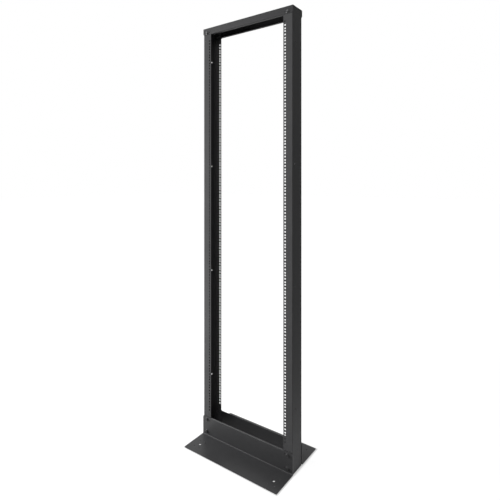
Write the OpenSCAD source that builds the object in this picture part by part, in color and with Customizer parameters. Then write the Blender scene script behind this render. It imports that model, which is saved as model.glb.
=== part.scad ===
// Two post open frame rack: two folded C-section posts with square rack holes,
// joined by two base angles that stand on the floor and two top angles, all bolted.
// Millimetres, +Z up. The origin is on the floor, midway between the posts and
// midway between their front and rear faces. The front faces -Y.

/* [Rack] */
// Number of rack units that the posts hold
rack_units = 45; // [12:1:48]
// Height of one rack unit
unit_pitch = 44.45; // [42:0.05:50]
// Distance between the two columns of rack holes
column_gap = 465.1; // [400:0.1:620]
// Height of the lowest rack unit's lower edge above the floor
units_start = 133.35; // [125:0.05:300]
// Height from the highest rack unit's upper edge to the top of the rack
head_room = 64.4; // [55:0.1:200]

/* [Posts] */
// Depth of a post, from its front face to its rear face
post_depth = 90; // [70:1:200]
// Width of a post's front or rear flange
flange_w = 50; // [44:1:80]
// Sheet thickness of the posts
post_sheet = 2; // [1.5:0.1:3]
// Inside radius of the posts' folds
post_fold = 1.5; // [1:0.1:4]

/* [Rack holes] */
// Side of a square rack hole
rack_hole = 8; // [6:0.1:11]
// Distance from a rack hole's centre to the flange's free edge
rack_hole_inset = 9.1; // [7:0.1:14]
// Height of a unit's lowest hole above the unit's lower edge
first_hole_rise = 6.35; // [5.5:0.05:8]
// Distance between neighbouring holes of one unit
hole_pitch = 15.875; // [14:0.005:17]

/* [Web holes] */
// Diameter of the round holes in the posts' webs
web_hole_d = 8; // [5:0.1:12]
// Distance of the web holes from the middle of the web
web_hole_offset = 21; // [0:0.5:24]
// Height of the lowest web hole above the lowest rack unit
web_hole_rise = 165.15; // [50:0.05:300]
// Number of rack units between one web hole and the next
web_hole_units = 13; // [4:1:20]

/* [Base angles] */
// Height of a base angle's upright
base_h = 101.5; // [98:0.5:120]
// Distance that a base angle's foot reaches out from the posts' faces
base_reach = 150; // [110:1:250]
// Distance that a base angle stands out past the posts at each end
base_overhang = 2.5; // [0:0.1:10]
// Sheet thickness of the base angles
base_sheet = 3; // [2:0.1:5]
// Inside radius of the fold between the upright and the foot
base_fold = 3; // [1:0.1:5]
// Inside radius of the upright's rolled rim
rim_fold = 2; // [1:0.1:3]
// Radius of the upright's upper corners
base_corner = 10; // [2:0.5:12]
// Radius of the foot's outer corners
foot_corner = 4; // [1:0.5:15]

/* [Floor holes] */
// Diameter of a floor anchor hole
anchor_d = 12; // [8:0.1:18]
// Distance of an anchor hole's centre from the foot's end
anchor_end_inset = 51.5; // [35:0.5:80]
// Distance of an anchor hole's centre from the foot's outer edge
anchor_edge_inset = 62.5; // [40:0.5:70]
// Diameter of the four screw holes around an anchor hole
screw_hole_d = 5; // [3:0.1:7]
// Distance between those screw holes across the rack
screw_span_x = 34; // [26:0.5:50]
// Distance between those screw holes along the foot's reach
screw_span_y = 50; // [30:0.5:60]

/* [Top angles] */
// Height of a top angle's face
top_h = 36.5; // [34:0.5:44]
// Distance that a top angle stands out past the posts at each end
top_overhang = 1.5; // [0:0.1:10]
// Sheet thickness of the top angles
top_sheet = 2; // [1.5:0.1:3]
// Inside radius of the top angles' folds
top_fold = 1.5; // [1:0.1:3]
// Depth of the return lip under the face
top_lip = 14; // [8:0.5:25]
// Radius of the face's lower corners
top_corner = 10; // [2:0.5:12]
// Gap between the two top legs, over the middle of the posts
top_seam = 1; // [0.5:0.1:10]

/* [Bolts] */
// Diameter of the frame bolts
bolt_d = 8; // [5:0.5:10]
// Clearance of a bolt in its hole, on the diameter
bolt_hole_gap = 1; // [0.5:0.1:2]
// Height of the lower base bolts above the floor
low_bolt_h = 22; // [18:0.5:30]
// Distance of the upper base bolts below a base angle's upper edge
high_bolt_drop = 16; // [14:0.5:40]
// Distance of the top bolts below the top of the rack
top_bolt_drop = 25.8; // [20:0.1:26]
// Width across flats of the bolt heads and nuts
hex_af = 13; // [8:0.5:15]
// Height of a bolt head above its flange
head_h = 5; // [3:0.1:8]
// Diameter of a bolt head's flange
head_flange_d = 17; // [14:0.5:19]
// Thickness of a bolt head's flange
head_flange_t = 1.5; // [1:0.1:3]
// Height of a nut
nut_h = 6.5; // [4:0.1:8]
// Length of thread that shows past a nut
bolt_tail = 3; // [1:0.1:6]
// Clearance between a bolt's thread and its nut, on the radius
thread_gap = 0.05; // [0.02:0.01:0.1]
// Diameter of the locating hole beside each bolt
locator_d = 4.5; // [3:0.1:6]
// Distance from a bolt to its locating hole, towards the bay
locator_gap = 16.5; // [14:0.5:20]

/* [Hidden] */
SMOOTH = 48;
HOLE_FN = 32;
CUT = 1;
FACES = ["front", "rear"];
SIDES = ["left", "right"];
LEVELS = ["low", "high", "top"];

units_top = units_start + rack_units * unit_pitch;
rack_h = units_top + head_room;
holes_per_unit = 3;

post_half_w = column_gap / 2 - rack_hole_inset + flange_w;
post_half_d = post_depth / 2;
bay_half_w = post_half_w - flange_w;
// the posts stop below the fold of the top angles
post_h = rack_h - top_sheet - top_fold;

base_half_w = post_half_w + base_overhang;
foot_edge = post_half_d + base_reach;
anchor_x = base_half_w - anchor_end_inset;
anchor_y = foot_edge - anchor_edge_inset;
top_half_w = post_half_w + top_overhang;
// room between the rims or lips and the posts' flanges
lip_end_gap = 2;
lip_half_w = bay_half_w - lip_end_gap;

bolt_x = post_half_w - flange_w / 2;
bolt_hole_d = bolt_d + bolt_hole_gap;
bolt_tip = 1;
web_hole_step = web_hole_units * unit_pitch;
web_hole_first = units_start + web_hole_rise;

function bolt_z(level) =
    level == "low" ? low_bolt_h
    : level == "high" ? base_h - high_bolt_drop
    : rack_h - top_bolt_drop;
function cover_sheet(level) = level == "top" ? top_sheet : base_sheet;
function fastener(kind, face, side, level) = str(face, "_", side, "_", level, "_", kind);

// ---- Shared shapes ----

// A quarter ring of sheet around the origin, in the corner of +X and +Y
module fold_section(inner_r, sheet) {
    intersection() {
        difference() {
            circle(r = inner_r + sheet, $fn = SMOOTH);
            circle(r = inner_r, $fn = SMOOTH);
        }
        square(inner_r + sheet);
    }
}

// A plate from y = 0 to y = height, centred on x, with both upper corners rounded
module round_topped_plate(half_w, height, corner) {
    translate([-half_w, 0])
        square([2 * half_w, height - corner]);
    translate([corner - half_w, height - corner])
        square([2 * (half_w - corner), corner]);
    for (end = [-1, 1])
        translate([end * (half_w - corner), height - corner])
            circle(r = corner, $fn = SMOOTH);
}

// Extrudes a section drawn in Y and Z along X, centred
module along_x(half_length) {
    rotate([90, 0, 90])
        linear_extrude(height = 2 * half_length, center = true)
            children();
}

// Stands a drawing in X and Z up as a sheet, from the given Y towards +Y
module upright_sheet(y, sheet) {
    translate([0, y + sheet, 0])
        rotate([90, 0, 0])
            linear_extrude(height = sheet)
                children();
}

// The front piece as drawn, or the rear piece: the same one turned half round
module on_face(face) {
    rotate([0, 0, face == "front" ? 0 : 180])
        children();
}

// ---- Posts ----

module post_section() {
    inner_h = post_half_d - post_sheet - post_fold;
    translate([post_half_w - post_sheet, -inner_h])
        square([post_sheet, 2 * inner_h]);
    for (face = [-1, 1])
        scale([1, face]) {
            translate([bay_half_w, post_half_d - post_sheet])
                square([flange_w - post_sheet - post_fold, post_sheet]);
            translate([post_half_w - post_sheet - post_fold, inner_h])
                fold_section(post_fold, post_sheet);
        }
}

// The square holes of one column, as drawn in X and Z
module rack_hole_column() {
    for (unit = [0 : rack_units - 1], hole = [0 : holes_per_unit - 1])
        translate([
            column_gap / 2 - rack_hole / 2,
            units_start + unit * unit_pitch + first_hole_rise + hole * hole_pitch - rack_hole / 2
        ])
            square(rack_hole);
}

// A right hand post; the left one is the same piece turned half round
module post() {
    color("#2b2c2e")
        difference() {
            linear_extrude(height = post_h)
                post_section();
            rotate([90, 0, 0])
                linear_extrude(height = post_depth + 2 * CUT, center = true)
                    rack_hole_column();
            for (level = LEVELS)
                translate([bolt_x, 0, bolt_z(level)])
                    rotate([90, 0, 0])
                        cylinder(d = bolt_hole_d, h = post_depth + 2 * CUT, center = true, $fn = HOLE_FN);
            for (z = [web_hole_first : web_hole_step : post_h - top_h - web_hole_d])
                translate([post_half_w - post_sheet - CUT, -web_hole_offset, z])
                    rotate([0, 90, 0])
                        cylinder(d = web_hole_d, h = post_sheet + 2 * CUT, $fn = HOLE_FN);
        }
}

module right_post() post();

module left_post() rotate([0, 0, 180]) post();

// ---- Base angles ----

// The holes that a cover plate has for one level of bolts, drawn in X and Z
module cover_holes(level) {
    for (side = [-1, 1]) {
        translate([side * bolt_x, bolt_z(level)])
            circle(d = bolt_hole_d, $fn = HOLE_FN);
        translate([side * (bolt_x - locator_gap), bolt_z(level)])
            circle(d = locator_d, $fn = HOLE_FN);
    }
}

module base_upright() {
    fold_h = base_sheet + base_fold;
    rim_h = rim_fold + base_sheet;
    upright_sheet(-post_half_d - base_sheet, base_sheet)
        difference() {
            translate([0, fold_h])
                round_topped_plate(base_half_w, base_h - fold_h, base_corner);
            translate([-lip_half_w, base_h - rim_h])
                square([2 * lip_half_w, rim_h + CUT]);
            cover_holes("low");
            cover_holes("high");
        }
    along_x(lip_half_w)
        translate([rim_fold - post_half_d, base_h - rim_h])
            scale([-1, 1])
                fold_section(rim_fold, base_sheet);
}

// The foot, drawn in X and Y on the floor
module foot_outline() {
    inner_edge = post_half_d + base_sheet + base_fold;
    translate([0, -inner_edge])
        scale([1, -1])
            round_topped_plate(base_half_w, foot_edge - inner_edge, foot_corner);
}

module floor_holes() {
    for (side = [-1, 1])
        translate([side * anchor_x, -anchor_y]) {
            circle(d = anchor_d, $fn = HOLE_FN);
            for (dx = [-1, 1], dy = [-1, 1])
                translate([dx * screw_span_x / 2, dy * screw_span_y / 2])
                    circle(d = screw_hole_d, $fn = HOLE_FN);
        }
}

module base_angle(face) {
    color("#303134")
        on_face(face) {
            base_upright();
            along_x(base_half_w)
                translate([-post_half_d - base_sheet - base_fold, base_sheet + base_fold])
                    scale([1, -1])
                        fold_section(base_fold, base_sheet);
            linear_extrude(height = base_sheet)
                difference() {
                    foot_outline();
                    floor_holes();
                }
        }
}

module front_base_angle() base_angle("front");

module rear_base_angle() base_angle("rear");

// ---- Top angles ----

module top_face() {
    fold_h = top_sheet + top_fold;
    upright_sheet(-post_half_d - top_sheet, top_sheet)
        difference() {
            translate([0, rack_h - fold_h])
                scale([1, -1])
                    round_topped_plate(top_half_w, top_h - fold_h, top_corner);
            translate([-lip_half_w, rack_h - top_h - CUT])
                square([2 * lip_half_w, fold_h + CUT]);
            cover_holes("top");
        }
}

// The top leg and its fold, drawn in Y and Z
module top_leg_section() {
    fold_h = top_sheet + top_fold;
    translate([top_fold - post_half_d, rack_h - fold_h])
        scale([-1, 1])
            fold_section(top_fold, top_sheet);
    translate([top_fold - post_half_d, rack_h - top_sheet])
        square([post_half_d - top_fold - top_seam / 2, top_sheet]);
}

// The return lip and its fold, drawn in Y and Z
module top_lip_section() {
    fold_h = top_sheet + top_fold;
    translate([top_fold - post_half_d, rack_h - top_h + fold_h])
        scale([-1, -1])
            fold_section(top_fold, top_sheet);
    translate([top_fold - post_half_d, rack_h - top_h])
        square([top_lip - fold_h, top_sheet]);
}

module top_angle(face) {
    color("#2e2f31")
        on_face(face) {
            top_face();
            along_x(top_half_w)
                top_leg_section();
            along_x(lip_half_w)
                top_lip_section();
        }
}

module front_top_angle() top_angle("front");

module rear_top_angle() top_angle("rear");

// ---- Bolts and nuts ----

module hex_prism(height) {
    cylinder(d = hex_af / cos(30), h = height, $fn = 6);
}

// Moves a fastener, drawn along +Z with the post's inner flange face at z = 0,
// into place: +Z points into the channel
module at_place(face, side, level) {
    on_face(face)
        translate([
            (side == "left" ? -1 : 1) * (face == "front" ? 1 : -1) * bolt_x,
            post_sheet - post_half_d,
            bolt_z(level)
        ])
            rotate([-90, 0, 0])
                children();
}

module bolt(face, side, level) {
    grip = post_sheet + cover_sheet(level);
    reach = nut_h + bolt_tail;
    color("#1f2022")
        at_place(face, side, level) {
            translate([0, 0, -grip])
                cylinder(d = bolt_d, h = grip + reach - bolt_tip, $fn = SMOOTH);
            translate([0, 0, reach - bolt_tip])
                cylinder(d1 = bolt_d, d2 = bolt_d - 2 * bolt_tip, h = bolt_tip, $fn = SMOOTH);
            translate([0, 0, -grip - head_flange_t])
                cylinder(d = head_flange_d, h = head_flange_t, $fn = SMOOTH);
            translate([0, 0, -grip - head_flange_t - head_h])
                hex_prism(head_h);
        }
}

module nut(face, side, level) {
    color("#26272a")
        at_place(face, side, level)
            difference() {
                hex_prism(nut_h);
                translate([0, 0, -CUT])
                    cylinder(r = bolt_d / 2 + thread_gap, h = nut_h + 2 * CUT, $fn = SMOOTH);
            }
}

// ---- The rack ----

left_post();
right_post();
front_base_angle();
rear_base_angle();
front_top_angle();
rear_top_angle();
for (face = FACES, side = SIDES, level = LEVELS)
    bolt(face, side, level);
for (face = FACES, side = SIDES, level = LEVELS)
    nut(face, side, level);
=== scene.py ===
"""Looks of a two post open frame rack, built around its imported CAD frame.

The folded sheets are the frame's own nodes and get their powder coat here. The
twelve flanged bolts and twelve nuts are modelled again with their chamfers and
threads, and stand for their plainer CAD nodes. Everything is in metres, with
the front facing -Y and the floor at z = 0.
"""

import logging
import math
from dataclasses import dataclass, field
from enum import Enum
from itertools import product
from typing import Sequence

import bmesh
import bpy
from mathutils import Matrix, Vector

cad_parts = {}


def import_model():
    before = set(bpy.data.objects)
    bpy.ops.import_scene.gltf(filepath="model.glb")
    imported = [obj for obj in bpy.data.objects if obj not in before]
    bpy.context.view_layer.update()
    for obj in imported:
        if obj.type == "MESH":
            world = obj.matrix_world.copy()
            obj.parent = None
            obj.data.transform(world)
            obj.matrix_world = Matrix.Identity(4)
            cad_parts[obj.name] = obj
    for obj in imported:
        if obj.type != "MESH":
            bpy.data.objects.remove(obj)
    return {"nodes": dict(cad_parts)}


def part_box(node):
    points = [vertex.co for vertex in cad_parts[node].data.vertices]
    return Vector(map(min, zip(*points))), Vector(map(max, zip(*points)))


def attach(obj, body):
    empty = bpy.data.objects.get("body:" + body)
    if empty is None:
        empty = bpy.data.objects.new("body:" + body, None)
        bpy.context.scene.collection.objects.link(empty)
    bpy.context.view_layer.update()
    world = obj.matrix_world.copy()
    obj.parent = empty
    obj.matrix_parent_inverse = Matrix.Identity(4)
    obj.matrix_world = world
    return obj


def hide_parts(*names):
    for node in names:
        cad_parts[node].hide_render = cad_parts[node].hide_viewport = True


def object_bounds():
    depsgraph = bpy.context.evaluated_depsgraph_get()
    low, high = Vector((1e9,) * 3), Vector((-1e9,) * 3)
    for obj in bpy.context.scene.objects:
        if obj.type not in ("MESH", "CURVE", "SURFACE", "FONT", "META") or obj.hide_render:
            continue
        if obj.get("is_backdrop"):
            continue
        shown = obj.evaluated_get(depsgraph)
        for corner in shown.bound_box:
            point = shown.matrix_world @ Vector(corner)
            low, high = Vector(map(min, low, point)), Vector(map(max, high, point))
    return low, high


MM = 0.001
BODY = "root"
ROUND_SIDES = 48
THREAD_SIDES = 24
HALF_SIDE = 0.5
NOISE_MIDDLE = 0.5
Colour = tuple[float, float, float]
WHITE: Colour = (1.0, 1.0, 1.0)

log = logging.getLogger("rack")


# ---------------------------------------------------------------- shader words


class Signal:
    """A shader socket that takes part in Python arithmetic."""

    def __init__(self, shader: "Shader", socket: bpy.types.NodeSocket) -> None:
        """Wraps a socket.

        Args:
            shader: The material or world whose nodes the arithmetic adds to.
            socket: The output socket that carries the value.
        """
        self.shader = shader
        self.socket = socket

    def sibling(self, output: str) -> "Signal":
        """Gives another output of the same node."""
        return Signal(self.shader, self.socket.node.outputs[output])

    def _maths(self, operation: str, *operands: "Signal | float") -> "Signal":
        """Adds one Math node.

        Args:
            operation: The Math node's operation.
            operands: What goes into its sockets, in order.

        Returns:
            The node's result.
        """
        return self.shader.node(
            "ShaderNodeMath", {"operation": operation}, dict(enumerate(operands))
        )

    def __add__(self, other: "Signal | float") -> "Signal":
        """Gives this value plus another."""
        return self._maths("ADD", self, other)

    def __sub__(self, other: "Signal | float") -> "Signal":
        """Gives this value less another."""
        return self._maths("SUBTRACT", self, other)

    def __mul__(self, other: "Signal | float") -> "Signal":
        """Gives this value times another."""
        return self._maths("MULTIPLY", self, other)

    def __radd__(self, other: float) -> "Signal":
        """Gives a number plus this value."""
        return self._maths("ADD", other, self)

    def __rmul__(self, other: float) -> "Signal":
        """Gives a number times this value."""
        return self._maths("MULTIPLY", other, self)

    def __abs__(self) -> "Signal":
        """Gives this value without its sign."""
        return self._maths("ABSOLUTE", self)

    def at_least(self, other: "Signal | float") -> "Signal":
        """Gives the larger of this value and another."""
        return self._maths("MAXIMUM", self, other)

    def swung(self, reach: float) -> "Signal":
        """Gives this noise as a swing about 0, of up to a reach either way."""
        return (self - NOISE_MIDDLE) * (2 * reach)


class Shader:
    """The node tree of one material or world."""

    def __init__(self, owner: bpy.types.Material | bpy.types.World) -> None:
        """Empties the owner's node tree and keeps it for new nodes.

        Args:
            owner: The material or world to build.
        """
        owner.use_nodes = True
        self.tree = owner.node_tree
        self.tree.nodes.clear()

    def node(
        self,
        kind: str,
        settings: dict[str, object] | None = None,
        inputs: dict[str | int, object] | None = None,
        output: str | int = 0,
    ) -> Signal:
        """Adds a node, sets it up, and feeds its sockets.

        Args:
            kind: The node's type.
            settings: Properties that are set before the sockets are fed.
            inputs: A value or a Signal for each named or numbered socket.
            output: The name or number of the socket that is handed back.

        Returns:
            The chosen output, or the node's first one.
        """
        node = self.tree.nodes.new(kind)
        for name, value in (settings or {}).items():
            setattr(node, name, value)
        for name, value in (inputs or {}).items():
            if isinstance(value, Signal):
                self.tree.links.new(value.socket, node.inputs[name])
            else:
                node.inputs[name].default_value = value
        return Signal(self, node.outputs[output] if node.outputs else None)

    def object_place(self) -> Signal:
        """Gives the point's place in the piece's own coordinates."""
        return self.node("ShaderNodeTexCoord", output="Object")

    def noise(self, place: Signal, size: float, detail: float = 2.0) -> Signal:
        """Adds a noise whose features have a real size.

        Args:
            place: Where the noise is read.
            size: The distance between neighbouring features, in metres.
            detail: How many finer octaves are added.

        Returns:
            The noise, which stays about 0.5.
        """
        sockets = {"Vector": place, "Scale": 1.0 / size, "Detail": detail}
        return self.node("ShaderNodeTexNoise", inputs=sockets, output="Fac")

    def tinted(self, colour: Colour, tone: Signal) -> Signal:
        """Gives a colour made lighter or darker by a changing tone."""
        sockets = {0: colour, "Scale": tone}
        return self.node("ShaderNodeVectorMath", {"operation": "SCALE"}, sockets)

    def bumped(self, height: Signal, depth: float) -> Signal:
        """Gives normals that follow a height.

        Args:
            height: The height, from about 0 to 1.
            depth: How deep a change of 1 is, in metres.

        Returns:
            The bent normals.
        """
        return self.node("ShaderNodeBump", inputs={"Height": height, "Distance": depth})

    def ramp(
        self, value: Signal, start: float, end: float, low: float, high: float
    ) -> Signal:
        """Turns a value into a smooth rise or fall between two levels.

        Args:
            value: What is read.
            start: The value at which the change starts.
            end: The value at which it is complete.
            low: The level up to the start.
            high: The level from the end on.

        Returns:
            The level.
        """
        sockets = {
            "Value": value,
            "From Min": start,
            "From Max": end,
            "To Min": low,
            "To Max": high,
        }
        settings = {"interpolation_type": "SMOOTHSTEP"}
        return self.node("ShaderNodeMapRange", settings, sockets)

    def seen(self) -> Signal:
        """Gives 1 where the eye, a gloss or a glass looks, and 0 elsewhere."""
        eye = self.node("ShaderNodeLightPath", output="Is Camera Ray")
        gloss, glass = eye.sibling("Is Glossy Ray"), eye.sibling("Is Transmission Ray")
        return eye.at_least(gloss).at_least(glass)

    def mixed(self, share: Signal, plain: Signal, other: Signal) -> Signal:
        """Mixes two shaders by a share from 0 to 1."""
        return self.node("ShaderNodeMixShader", inputs={0: share, 1: plain, 2: other})

    def finish(self, kind: str, surface: Signal) -> None:
        """Ends the tree with its output node."""
        self.node(kind, inputs={"Surface": surface})


# -------------------------------------------------------------------- finishes


@dataclass(frozen=True)
class PowderCoat:
    """A baked powder coat: fine grain over the soft waves of its flow.

    Attributes:
        name: The slot's name.
        colour: The coat's middle colour.
        roughness: The coat's middle roughness.
        specular: The strength of its gloss, where 0.5 is a plain plastic's.
        grain_size: The distance between grains, in metres.
        grain_share: The grain's share of the relief, against the waves'.
        wave_size: The distance between waves, in metres.
        depth: The relief's depth, in metres.
        cloud_size: The size of the patches where tone and gloss drift, in metres.
        cloud_detail: How many finer octaves the patches have.
        tone_drift: How far the tone swings either way, as a share.
        gloss_drift: How far the roughness swings either way.
    """

    name: str
    colour: Colour
    roughness: float
    specular: float
    grain_size: float = 0.9 * MM
    grain_share: float = 0.35
    wave_size: float = 3.4 * MM
    depth: float = 0.05 * MM
    cloud_size: float = 60 * MM
    cloud_detail: float = 3.0
    tone_drift: float = 0.12
    gloss_drift: float = 0.05

    def material(self) -> bpy.types.Material:
        """Builds the coat's material."""
        material = bpy.data.materials.new(f"{self.name}_finish")
        shader = Shader(material)
        place = shader.object_place()
        grain = shader.noise(place, self.grain_size)
        wave = shader.noise(place, self.wave_size)
        cloud = shader.noise(place, self.cloud_size, self.cloud_detail)
        tone = 1.0 + cloud.swung(self.tone_drift) + grain.swung(self.tone_drift / 2)
        height = self.grain_share * grain + (1 - self.grain_share) * wave
        sockets = {
            "Base Color": shader.tinted(self.colour, tone),
            "Roughness": self.roughness + cloud.swung(self.gloss_drift),
            "Specular IOR Level": self.specular,
            "Normal": shader.bumped(height, self.depth),
        }
        coat = shader.node("ShaderNodeBsdfPrincipled", inputs=sockets)
        shader.finish("ShaderNodeOutputMaterial", coat)
        return material


@dataclass(frozen=True)
class BlackSteel:
    """Steel under a black chemical finish, with the faint texture of its drawing.

    Attributes:
        name: The slot's name.
        colour: The finish's middle colour.
        roughness: Its middle roughness.
        metallic: How far it shines as bare metal does, from 0 to 1.
        specular: The strength of its gloss, where 0.5 is a plain plastic's.
        cloud_size: The size of the patches where tone and gloss drift, in metres.
        cloud_detail: How many finer octaves the patches have.
        tone_drift: How far the tone swings either way, as a share.
        gloss_drift: How far the roughness swings either way.
        draw_size: The distance between the texture's marks, in metres.
        depth: The texture's depth, in metres.
    """

    name: str
    colour: Colour
    roughness: float
    metallic: float
    specular: float = 0.35
    cloud_size: float = 4 * MM
    cloud_detail: float = 4.0
    tone_drift: float = 0.15
    gloss_drift: float = 0.08
    draw_size: float = 0.35 * MM
    depth: float = 0.012 * MM

    def material(self) -> bpy.types.Material:
        """Builds the black finish's material."""
        material = bpy.data.materials.new(f"{self.name}_finish")
        shader = Shader(material)
        place = shader.object_place()
        cloud = shader.noise(place, self.cloud_size, self.cloud_detail)
        draw = shader.noise(place, self.draw_size)
        tone = 1.0 + cloud.swung(self.tone_drift)
        sockets = {
            "Base Color": shader.tinted(self.colour, tone),
            "Roughness": self.roughness + cloud.swung(self.gloss_drift),
            "Metallic": self.metallic,
            "Specular IOR Level": self.specular,
            "Normal": shader.bumped(draw, self.depth),
        }
        coat = shader.node("ShaderNodeBsdfPrincipled", inputs=sockets)
        shader.finish("ShaderNodeOutputMaterial", coat)
        return material


class Finish(Enum):
    """The finishes of the rack's pieces, under the names of the record's slots."""

    # Posts, base angles and top angles wear one black powder coat; its tone is set per
    # part, darkest on the top angles, to match how brightly each part is lit: painted
    # light and shade.
    POST_COAT = PowderCoat(
        "post_coat", (0.042, 0.042, 0.043), roughness=0.50, specular=0.05
    )
    BASE_COAT = PowderCoat(
        "base_coat", (0.026, 0.026, 0.027), roughness=0.34, specular=0.24
    )
    TOP_COAT = PowderCoat(
        "top_coat", (0.019, 0.019, 0.020), roughness=0.42, specular=0.12
    )
    BOLT_BLACK = BlackSteel(
        "bolt_black", (0.022, 0.022, 0.023), roughness=0.34, metallic=0.3
    )
    NUT_BLACK = BlackSteel(
        "nut_black", (0.045, 0.045, 0.047), roughness=0.38, metallic=0.6
    )


class PaintShop:
    """Makes each finish's material once and puts it on pieces."""

    def __init__(self) -> None:
        """Starts with no material made."""
        self.made: dict[Finish, bpy.types.Material] = {}

    def dress(self, piece: bpy.types.Object, finish: Finish) -> None:
        """Gives a piece one finish all over.

        Args:
            piece: The object to dress.
            finish: The finish that it takes.
        """
        if finish not in self.made:
            self.made[finish] = finish.value.material()
        piece.data.materials.clear()
        piece.data.materials.append(self.made[finish])


# ------------------------------------------------------------------- workbench


class Bench:
    """Modelling steps that several pieces share, each on an emptied selection.

    Attributes:
        WELD: How close two points are joined after a boolean, in metres.
        BEVEL_STEPS: The number of facets across a broken edge.
    """

    WELD = 0.002 * MM
    BEVEL_STEPS = 2

    @staticmethod
    def clear() -> None:
        """Leaves edit mode and deselects everything."""
        if bpy.context.object and bpy.context.object.mode != "OBJECT":
            bpy.ops.object.mode_set(mode="OBJECT")
        bpy.ops.object.select_all(action="DESELECT")

    @staticmethod
    def rod(
        name: str, sides: int, radius: float, low: float, high: float, turn: float = 0.0
    ) -> bpy.types.Object:
        """Adds a round or many-sided rod along +Z.

        Args:
            name: The new object's name.
            sides: The number of sides.
            radius: The distance from the axis to a corner.
            low: The height of its lower end.
            high: The height of its upper end.
            turn: How far it is turned about its axis, as a share of one side.

        Returns:
            The new object, active and selected.
        """
        Bench.clear()
        bpy.ops.mesh.primitive_cylinder_add(
            vertices=sides,
            radius=radius,
            depth=high - low,
            location=(0, 0, (low + high) / 2),
            rotation=(0, 0, math.pi / 2 + turn * 2 * math.pi / sides),
        )
        bpy.ops.object.transform_apply(location=True, rotation=True, scale=True)
        rod = bpy.context.object
        rod.name = name
        return rod

    @staticmethod
    def pick_end(rod: bpy.types.Object, top: bool) -> float:
        """Enters edit mode with only a rod's flat end face selected.

        Args:
            rod: The rod, with its axis along Z.
            top: Whether the upper end is meant, or the lower.

        Returns:
            The height of that end.
        """
        Bench.clear()
        bpy.context.view_layer.objects.active = rod
        rod.select_set(True)
        bpy.ops.object.mode_set(mode="EDIT")
        bpy.ops.mesh.select_mode(type="FACE")
        bpy.ops.mesh.select_all(action="DESELECT")
        form = bmesh.from_edit_mesh(rod.data)
        pick = max if top else min
        end = pick(form.faces, key=lambda face: face.calc_center_median().z)
        end.select_set(True)
        bmesh.update_edit_mesh(rod.data)
        return end.calc_center_median().z

    @staticmethod
    def step_end(rod: bpy.types.Object, top: bool, rise: float, shrink: float) -> None:
        """Extrudes a rod's end along its axis and scales the new end about the axis.

        Args:
            rod: The rod, with its axis along Z.
            top: Whether the upper end is stepped, or the lower.
            rise: How far the end moves along Z.
            shrink: The new end's size over the old one's.
        """
        height = Bench.pick_end(rod, top)
        bpy.ops.mesh.extrude_region_move(TRANSFORM_OT_translate={"value": (0, 0, rise)})
        bpy.ops.transform.resize(
            value=(shrink, shrink, 1), center_override=(0, 0, height + rise)
        )
        bpy.ops.object.mode_set(mode="OBJECT")

    @staticmethod
    def combine(keep: bpy.types.Object, tool: bpy.types.Object, how: str) -> None:
        """Applies a boolean with a second object, which is then gone.

        Args:
            keep: The object that is changed.
            tool: The object that changes it.
            how: INTERSECT, UNION or DIFFERENCE.
        """
        Bench.clear()
        bpy.context.view_layer.objects.active = keep
        keep.select_set(True)
        cut = keep.modifiers.new("combine", "BOOLEAN")
        cut.operation = how
        cut.solver = "EXACT"
        cut.object = tool
        bpy.ops.object.modifier_apply(modifier=cut.name)
        bpy.data.objects.remove(tool, do_unlink=True)
        bpy.ops.object.mode_set(mode="EDIT")
        bpy.ops.mesh.select_all(action="SELECT")
        bpy.ops.mesh.remove_doubles(threshold=Bench.WELD)
        bpy.ops.mesh.normals_make_consistent(inside=False)
        bpy.ops.object.mode_set(mode="OBJECT")

    @staticmethod
    def soften(piece: bpy.types.Object, radius: float, angle: float = 35.0) -> None:
        """Breaks a piece's sharp edges and smooths what is nearly flat.

        Args:
            piece: The object to finish.
            radius: The width of the broken edges, in metres.
            angle: The sharpest turn that is still shaded smooth, in degrees.
        """
        Bench.clear()
        bpy.context.view_layer.objects.active = piece
        piece.select_set(True)
        bevel = piece.modifiers.new("broken edges", "BEVEL")
        bevel.width = radius
        bevel.segments = Bench.BEVEL_STEPS
        bevel.limit_method = "ANGLE"
        bevel.angle_limit = math.radians(angle)
        bpy.ops.object.modifier_apply(modifier=bevel.name)
        bpy.ops.object.shade_smooth_by_angle(angle=math.radians(angle))

    @staticmethod
    def copy(piece: bpy.types.Object, name: str, place: Matrix) -> bpy.types.Object:
        """Copies a piece with its own mesh, moved within that mesh.

        Args:
            piece: The pattern.
            name: The copy's name.
            place: Where the pattern's coordinates go.

        Returns:
            The copy, whose object sits at the origin.
        """
        mesh = piece.data.copy()
        mesh.transform(place)
        mesh.name = name
        twin = bpy.data.objects.new(name, mesh)
        bpy.context.scene.collection.objects.link(twin)
        return twin


# ------------------------------------------------------------------- fasteners


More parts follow.
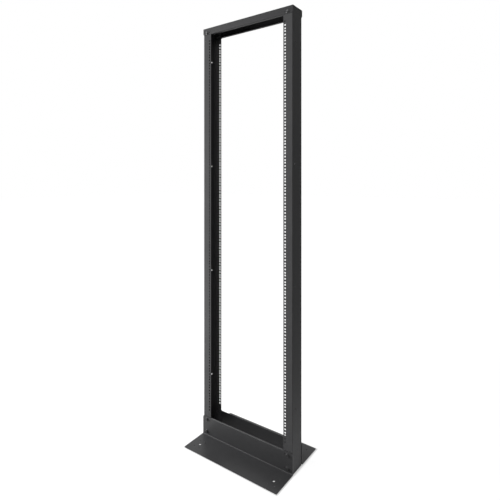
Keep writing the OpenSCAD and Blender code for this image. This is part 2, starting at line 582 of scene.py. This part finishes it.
@dataclass
class Hexagon:
    """The hexagon that a bolt's head and a nut share.

    Attributes:
        sides: The number of its sides.
        across_flats: The distance between opposite sides.
        chamfer: The slope of its turned-off corners, in degrees.
        face_share: The round end face's width over the distance between sides.
        turning_room: The turned form's width over the distance between corners.
    """

    sides: int = 6
    across_flats: float = 13 * MM
    chamfer: float = 30.0
    face_share: float = 0.93
    turning_room: float = 1.08

    def corner_radius(self) -> float:
        """Gives the distance from the axis to a corner."""
        return self.across_flats / 2 / math.cos(math.pi / self.sides)

    def prism(
        self, name: str, low: float, high: float, ends: tuple[bool, bool]
    ) -> bpy.types.Object:
        """Models a hexagonal prism whose corners are turned off at its ends.

        Args:
            name: The new object's name.
            low: The height of its lower end.
            high: The height of its upper end.
            ends: Whether the lower and the upper end are chamfered.

        Returns:
            The prism.
        """
        prism = Bench.rod(name, self.sides, self.corner_radius(), low, high)
        outer = self.corner_radius() * self.turning_room
        inner = self.across_flats / 2 * self.face_share
        drop = (outer - inner) * math.tan(math.radians(self.chamfer))
        turned_low = low + drop if ends[0] else low - drop
        turned_high = high - drop if ends[1] else high + drop
        turned = Bench.rod(
            "turned form", ROUND_SIDES, outer, turned_low, turned_high, turn=HALF_SIDE
        )
        if ends[0]:
            Bench.step_end(turned, False, -drop, inner / outer)
        if ends[1]:
            Bench.step_end(turned, True, drop, inner / outer)
        Bench.combine(prism, turned, "INTERSECT")
        return prism


@dataclass
class FlangeBolt:
    """A bolt with a hexagon flange head, drawn with its head's top at z = 0.

    The shank runs along +Z, so the whole bolt lies above its head's top.

    Attributes:
        hexagon: The head's hexagon.
        head_height: The hexagon's height over the flange.
        flange_thickness: The flange's thickness at the hexagon.
        flange_rim: The flange's thickness at its rim.
        flange_width: The flange's width across.
        thread: The thread's width over its ridges.
        pitch: The distance between ridges.
        thread_depth: How deep the grooves are.
        thread_ridges: How many ridges show behind the tip.
        tip: The length of the sloped tip.
        dish: How deep the head's top is dished.
        dish_margin: How far inside the head's top the dish starts.
        flange_taper: The flange's width at the hexagon over its width at the rim.
        edge: The width of the broken edges.
    """

    hexagon: Hexagon = field(default_factory=Hexagon)
    head_height: float = 5 * MM
    flange_thickness: float = 1.5 * MM
    flange_rim: float = 0.7 * MM
    flange_width: float = 17 * MM
    thread: float = 8 * MM
    pitch: float = 1.25 * MM
    thread_depth: float = 0.62 * MM
    thread_ridges: int = 3
    tip: float = 1 * MM
    dish: float = 0.35 * MM
    dish_margin: float = 1.5 * MM
    flange_taper: float = 0.86
    edge: float = 0.15 * MM

    def head(self) -> bpy.types.Object:
        """Models the head: a chamfered hexagon with a dished top on a sloped flange."""
        overlap = self.flange_thickness / 2
        head = self.hexagon.prism(
            "bolt head", 0.0, self.head_height + overlap, ends=(True, False)
        )
        Bench.pick_end(head, top=False)
        bpy.ops.mesh.inset(thickness=self.dish_margin)
        bpy.ops.transform.translate(value=(0, 0, self.dish))
        bpy.ops.object.mode_set(mode="OBJECT")
        seat = self.head_height + self.flange_thickness
        rim = seat - self.flange_rim
        flange = Bench.rod(
            "flange", ROUND_SIDES, self.flange_width / 2, rim, seat, turn=HALF_SIDE
        )
        slope = self.flange_thickness - self.flange_rim
        Bench.step_end(flange, False, -slope, self.flange_taper)
        Bench.combine(head, flange, "UNION")
        return head

    def shank(self, length: float) -> bpy.types.Object:
        """Models the shank with thread ridges at its far end.

        Args:
            length: The bolt's whole length, from its head's top to its tip.

        Returns:
            The shank, which starts inside the head.
        """
        root = self.head_height / 2
        crest, groove = self.thread / 2, self.thread / 2 - self.thread_depth
        plain_end = length - self.tip - self.thread_ridges * self.pitch
        shank = Bench.rod("shank", THREAD_SIDES, crest, root, plain_end)
        for _ in range(self.thread_ridges):
            Bench.step_end(shank, True, self.pitch / 2, groove / crest)
            Bench.step_end(shank, True, self.pitch / 2, crest / groove)
        Bench.step_end(shank, True, self.tip, (groove - self.tip / 2) / crest)
        return shank

    def build(self, name: str, length: float) -> bpy.types.Object:
        """Models one whole bolt.

        Args:
            name: The pattern's name.
            length: The bolt's whole length, from its head's top to its tip.

        Returns:
            The bolt as one closed mesh.
        """
        bolt = self.head()
        Bench.combine(bolt, self.shank(length), "UNION")
        Bench.soften(bolt, self.edge)
        bolt.name = name
        return bolt


@dataclass
class HexNut:
    """A hexagon nut, drawn from z = 0 up, with its countersunk bore.

    Attributes:
        hexagon: The nut's hexagon.
        height: The nut's height.
        bore: The bore's width.
        sink: How deep each end of the bore is countersunk.
        edge: The width of the broken edges.
    """

    hexagon: Hexagon = field(default_factory=Hexagon)
    height: float = 6.5 * MM
    bore: float = 8.1 * MM
    sink: float = 0.6 * MM
    edge: float = 0.12 * MM

    def build(self, name: str) -> bpy.types.Object:
        """Models one nut.

        Args:
            name: The pattern's name.

        Returns:
            The nut as one closed mesh.
        """
        nut = self.hexagon.prism(name, 0.0, self.height, ends=(True, True))
        radius = self.bore / 2
        spool = Bench.rod("bore", THREAD_SIDES, radius, self.sink, self.height - self.sink)
        flare = (radius + 2 * self.sink) / radius
        Bench.step_end(spool, True, 2 * self.sink, flare)
        Bench.step_end(spool, False, -2 * self.sink, flare)
        Bench.combine(nut, spool, "DIFFERENCE")
        Bench.soften(nut, self.edge)
        return nut


class Face(Enum):
    """The rack's front or rear, as the sign of its outward direction along Y."""

    FRONT = -1
    REAR = 1


@dataclass
class Fasteners:
    """The twelve flanged bolts and their nuts.

    Attributes:
        shop: Where they get their finishes.
        sides: The sides of the rack, as the CAD nodes name them.
        levels: The heights of the bolts, as the CAD nodes name them.
        bolt: The bolt's pattern.
        nut: The nut's pattern.
    """

    shop: PaintShop
    sides: tuple[str, ...] = ("left", "right")
    levels: tuple[str, ...] = ("low", "high", "top")
    bolt: FlangeBolt = field(default_factory=FlangeBolt)
    nut: HexNut = field(default_factory=HexNut)

    @staticmethod
    def placing(face: Face, low: Vector, high: Vector) -> Matrix:
        """Gives the move from a drawn fastener to its place.

        Args:
            face: The side of the rack that the fastener is on.
            low: The lowest corner of its CAD node.
            high: The highest corner of its CAD node.

        Returns:
            The move, which turns +Z of the drawing into the post.
        """
        turn = Matrix.Rotation(math.radians(90 * face.value), 4, "X")
        middle = (low + high) / 2
        start = low.y if face is Face.FRONT else high.y
        return Matrix.Translation((middle.x, start, middle.z)) @ turn

    def build(self) -> list[bpy.types.Object]:
        """Models each pattern once and sets its copies in place.

        Bolts whose lengths agree to a tenth of a millimetre share a pattern.

        Returns:
            The finished fasteners.
        """
        bolt_patterns: dict[float, bpy.types.Object] = {}
        nut_pattern = self.nut.build("nut pattern")
        pieces = []
        for face, side, level in product(Face, self.sides, self.levels):
            stem = f"{face.name.lower()}_{side}_{level}"
            low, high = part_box(f"{stem}_bolt")
            length = high.y - low.y
            size = round(length / MM, 1)
            if size not in bolt_patterns:
                bolt_patterns[size] = self.bolt.build(f"bolt pattern {size}", length)
            place = self.placing(face, low, high)
            bolt = Bench.copy(bolt_patterns[size], f"{stem}_flange_bolt", place)
            self.settle(bolt, Finish.BOLT_BLACK, f"{stem}_bolt")
            place = self.placing(face, *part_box(f"{stem}_nut"))
            nut = Bench.copy(nut_pattern, f"{stem}_hex_nut", place)
            self.settle(nut, Finish.NUT_BLACK, f"{stem}_nut")
            pieces += [bolt, nut]
        for pattern in [nut_pattern, *bolt_patterns.values()]:
            bpy.data.objects.remove(pattern, do_unlink=True)
        return pieces

    def settle(self, piece: bpy.types.Object, finish: Finish, node: str) -> None:
        """Dresses a fastener and lets it stand for its CAD node.

        Args:
            piece: The finished fastener.
            finish: What it is finished with.
            node: The CAD node that it stands for.
        """
        self.shop.dress(piece, finish)
        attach(piece, BODY)
        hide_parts(node)


# ---------------------------------------------------------------- folded sheets


@dataclass
class FoldedSheets:
    """The posts and angles, whose CAD nodes are shown in their powder coat.

    Attributes:
        shop: Where they get their coats.
        coats: The coat of each CAD node.
    """

    shop: PaintShop
    coats: dict[str, Finish] = field(
        default_factory=lambda: {
            "left_post": Finish.POST_COAT,
            "right_post": Finish.POST_COAT,
            "front_base_angle": Finish.BASE_COAT,
            "rear_base_angle": Finish.BASE_COAT,
            "front_top_angle": Finish.TOP_COAT,
            "rear_top_angle": Finish.TOP_COAT,
        }
    )

    def build(self, nodes: dict[str, bpy.types.Object]) -> list[bpy.types.Object]:
        """Coats each sheet.

        Args:
            nodes: The frame's CAD nodes by name.

        Returns:
            The coated nodes.
        """
        for name, finish in self.coats.items():
            self.shop.dress(nodes[name], finish)
        return [nodes[name] for name in self.coats]


# ---------------------------------------------------------------------- studio


@dataclass(frozen=True)
class Lamp:
    """One soft square panel of white light.

    Attributes:
        name: The lamp's name.
        place: Where its middle hangs.
        aim: The point that it faces.
        width: The length of its sides, in metres.
        power: Its power, in watts.
    """

    name: str
    place: tuple[float, float, float]
    aim: tuple[float, float, float]
    width: float
    power: float

    def build(self) -> bpy.types.Object:
        """Hangs the lamp, unseen by the camera itself."""
        data = bpy.data.lights.new(self.name, "AREA")
        data.shape = "SQUARE"
        data.size = self.width
        data.energy = self.power
        lamp = bpy.data.objects.new(self.name, data)
        lamp.location = self.place
        towards = Vector(self.aim) - Vector(self.place)
        lamp.rotation_euler = towards.to_track_quat("-Z", "Y").to_euler()
        lamp.visible_camera = False
        bpy.context.scene.collection.objects.link(lamp)
        return lamp


@dataclass
class Studio:
    """The floor, the white surroundings, the lamps and the camera.

    Lengths are in metres, and every glow and fill has 1 as its full white.

    Attributes:
        floor_reach: How far the floor runs from its middle.
        floor_colour: The pale floor as the rack is lit by it.
        paper_colour: The darker floor that is seen, so that its white stays even.
        painted_shadow_glow: The white that is added to what is seen under the rack; it is
            lower than beside it, a painted shadow.
        glow_near: The white that is added beside the rack.
        glow_far: The white that is added far from the rack.
        painted_shadow_width: How far from the footprint the glow reaches its near level;
            over this width it rises out of the painted shadow.
        near_reach: How far from it the glow starts to rise further.
        far_reach: How far from it the glow reaches its far level.
        fill: The even light from all round.
        eye: The camera's place.
        heading: The way it looks, in degrees from +Y towards -X.
        lens: Its focal length, in millimetres.
        sensor: Its sensor's width, in millimetres.
        shift: How far its level view is moved, in sensor widths.
        clip: The nearest and the farthest that it sees.
        lamps: The panels of light.
    """

    floor_reach: float = 30.0
    floor_colour: Colour = (0.80, 0.80, 0.80)
    paper_colour: Colour = (0.25, 0.25, 0.25)
    # The lower glow under and just round the footprint is a painted shadow.
    painted_shadow_glow: float = 0.45
    glow_near: float = 0.90
    glow_far: float = 1.0
    painted_shadow_width: float = 14 * MM
    near_reach: float = 0.5
    far_reach: float = 3.0
    fill: float = 0.02
    eye: tuple[float, float, float] = (1.228664, -1.775838, 1.379982)
    heading: float = 36.554
    lens: float = 30.2226
    sensor: float = 36.0
    shift: tuple[float, float] = (0.027648, -0.140622)
    clip: tuple[float, float] = (0.05, 200.0)
    lamps: tuple[Lamp, ...] = (
        Lamp("left_panel", (-3.06, -0.82, 1.35), (0.0, 0.0, 0.9), 1.2, 150.0),
        Lamp("left_front", (-1.71, -1.96, 2.60), (0.0, 0.0, 0.5), 1.2, 42.0),
        Lamp("key", (1.11, -2.38, 2.74), (0.0, 0.0, 0.9), 1.2, 31.0),
        Lamp("front_high", (0.00, -2.62, 2.74), (0.0, 0.0, 0.9), 1.2, 28.0),
        Lamp("left_low", (-1.13, -0.65, 0.35), (-0.2, 0.0, 0.15), 0.5, 12.0),
        Lamp("right_low", (0.62, -0.05, 0.06), (0.27, 0.0, 0.06), 0.15, 0.6),
    )

    def lay_floor(self, footprint: Sequence[Vector]) -> bpy.types.Object:
        """Lays the pale floor, which shows white and keeps the rack's shadow.

        What is seen of it is its own lit paper and a white glow. The glow lights nothing,
        and is lowered under the rack's footprint and in a thin rim round it, a painted
        contact shadow.

        Args:
            footprint: The lowest and highest corners of the rack's box.

        Returns:
            The floor.
        """
        Bench.clear()
        bpy.ops.mesh.primitive_plane_add(size=2 * self.floor_reach)
        floor = bpy.context.object
        floor.name = "floor"
        material = bpy.data.materials.new("floor_paper")
        shader = Shader(material)
        low, high = footprint
        middle, half = (low + high) / 2, (high - low) / 2
        across = shader.node(
            "ShaderNodeSeparateXYZ", inputs={"Vector": shader.object_place()}, output="X"
        )
        along = across.sibling("Y")
        beyond = (abs(across - middle.x) - half.x).at_least(abs(along - middle.y) - half.y)
        # The glow dips under the footprint and in a thin rim round it: a painted contact
        # shadow.
        near = shader.ramp(beyond, 0.0, self.painted_shadow_width, self.painted_shadow_glow, self.glow_near)
        rise = self.glow_far - self.glow_near
        far = shader.ramp(beyond, self.near_reach, self.far_reach, 0.0, rise)
        tone = shader.tinted(WHITE, near + far)
        glow = shader.node("ShaderNodeEmission", inputs={"Color": tone})
        bounce, paper = (
            shader.node("ShaderNodeBsdfDiffuse", inputs={"Color": (*colour, 1.0)})
            for colour in (self.floor_colour, self.paper_colour)
        )
        lit = shader.node("ShaderNodeAddShader", inputs={0: paper, 1: glow})
        shader.finish("ShaderNodeOutputMaterial", shader.mixed(shader.seen(), bounce, lit))
        floor.data.materials.append(material)
        floor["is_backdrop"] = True
        return floor

    def surround(self) -> None:
        """Makes the world white to look at, with only a faint fill of light."""
        world = bpy.data.worlds.new("studio")
        bpy.context.scene.world = world
        shader = Shader(world)
        fill, backdrop = (
            shader.node(
                "ShaderNodeBackground", inputs={"Color": (*WHITE, 1.0), "Strength": level}
            )
            for level in (self.fill, 1.0)
        )
        shader.finish("ShaderNodeOutputWorld", shader.mixed(shader.seen(), fill, backdrop))

    def set_camera(self) -> bpy.types.Object:
        """Stands the camera at eye height, level, and aims it."""
        data = bpy.data.cameras.new("camera")
        data.lens = self.lens
        data.sensor_width = self.sensor
        data.shift_x, data.shift_y = self.shift
        data.clip_start, data.clip_end = self.clip
        camera = bpy.data.objects.new("camera", data)
        camera.location = self.eye
        camera.rotation_euler = (math.pi / 2, 0.0, math.radians(self.heading))
        bpy.context.scene.collection.objects.link(camera)
        bpy.context.scene.camera = camera
        return camera

    def build(self, footprint: Sequence[Vector]) -> None:
        """Sets up the whole studio.

        Args:
            footprint: The lowest and highest corners of the rack's box.
        """
        self.lay_floor(footprint)
        self.surround()
        for lamp in self.lamps:
            lamp.build()
        self.set_camera()
        bpy.context.scene.view_settings.view_transform = "Standard"


# ------------------------------------------------------------------------ main


def main() -> None:
    """Loads the frame, dresses it, models the fasteners and sets up the studio."""
    logging.basicConfig(level=logging.INFO, format="%(name)s: %(message)s")
    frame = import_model()
    cad_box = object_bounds()
    shop = PaintShop()
    for sheet in FoldedSheets(shop).build(frame["nodes"]):
        log.info("coated %s", sheet.name)
    for piece in Fasteners(shop).build():
        log.info("made %s with %d faces", piece.name, len(piece.data.polygons))
    Studio().build(cad_box)


if __name__ == "__main__":
    main()
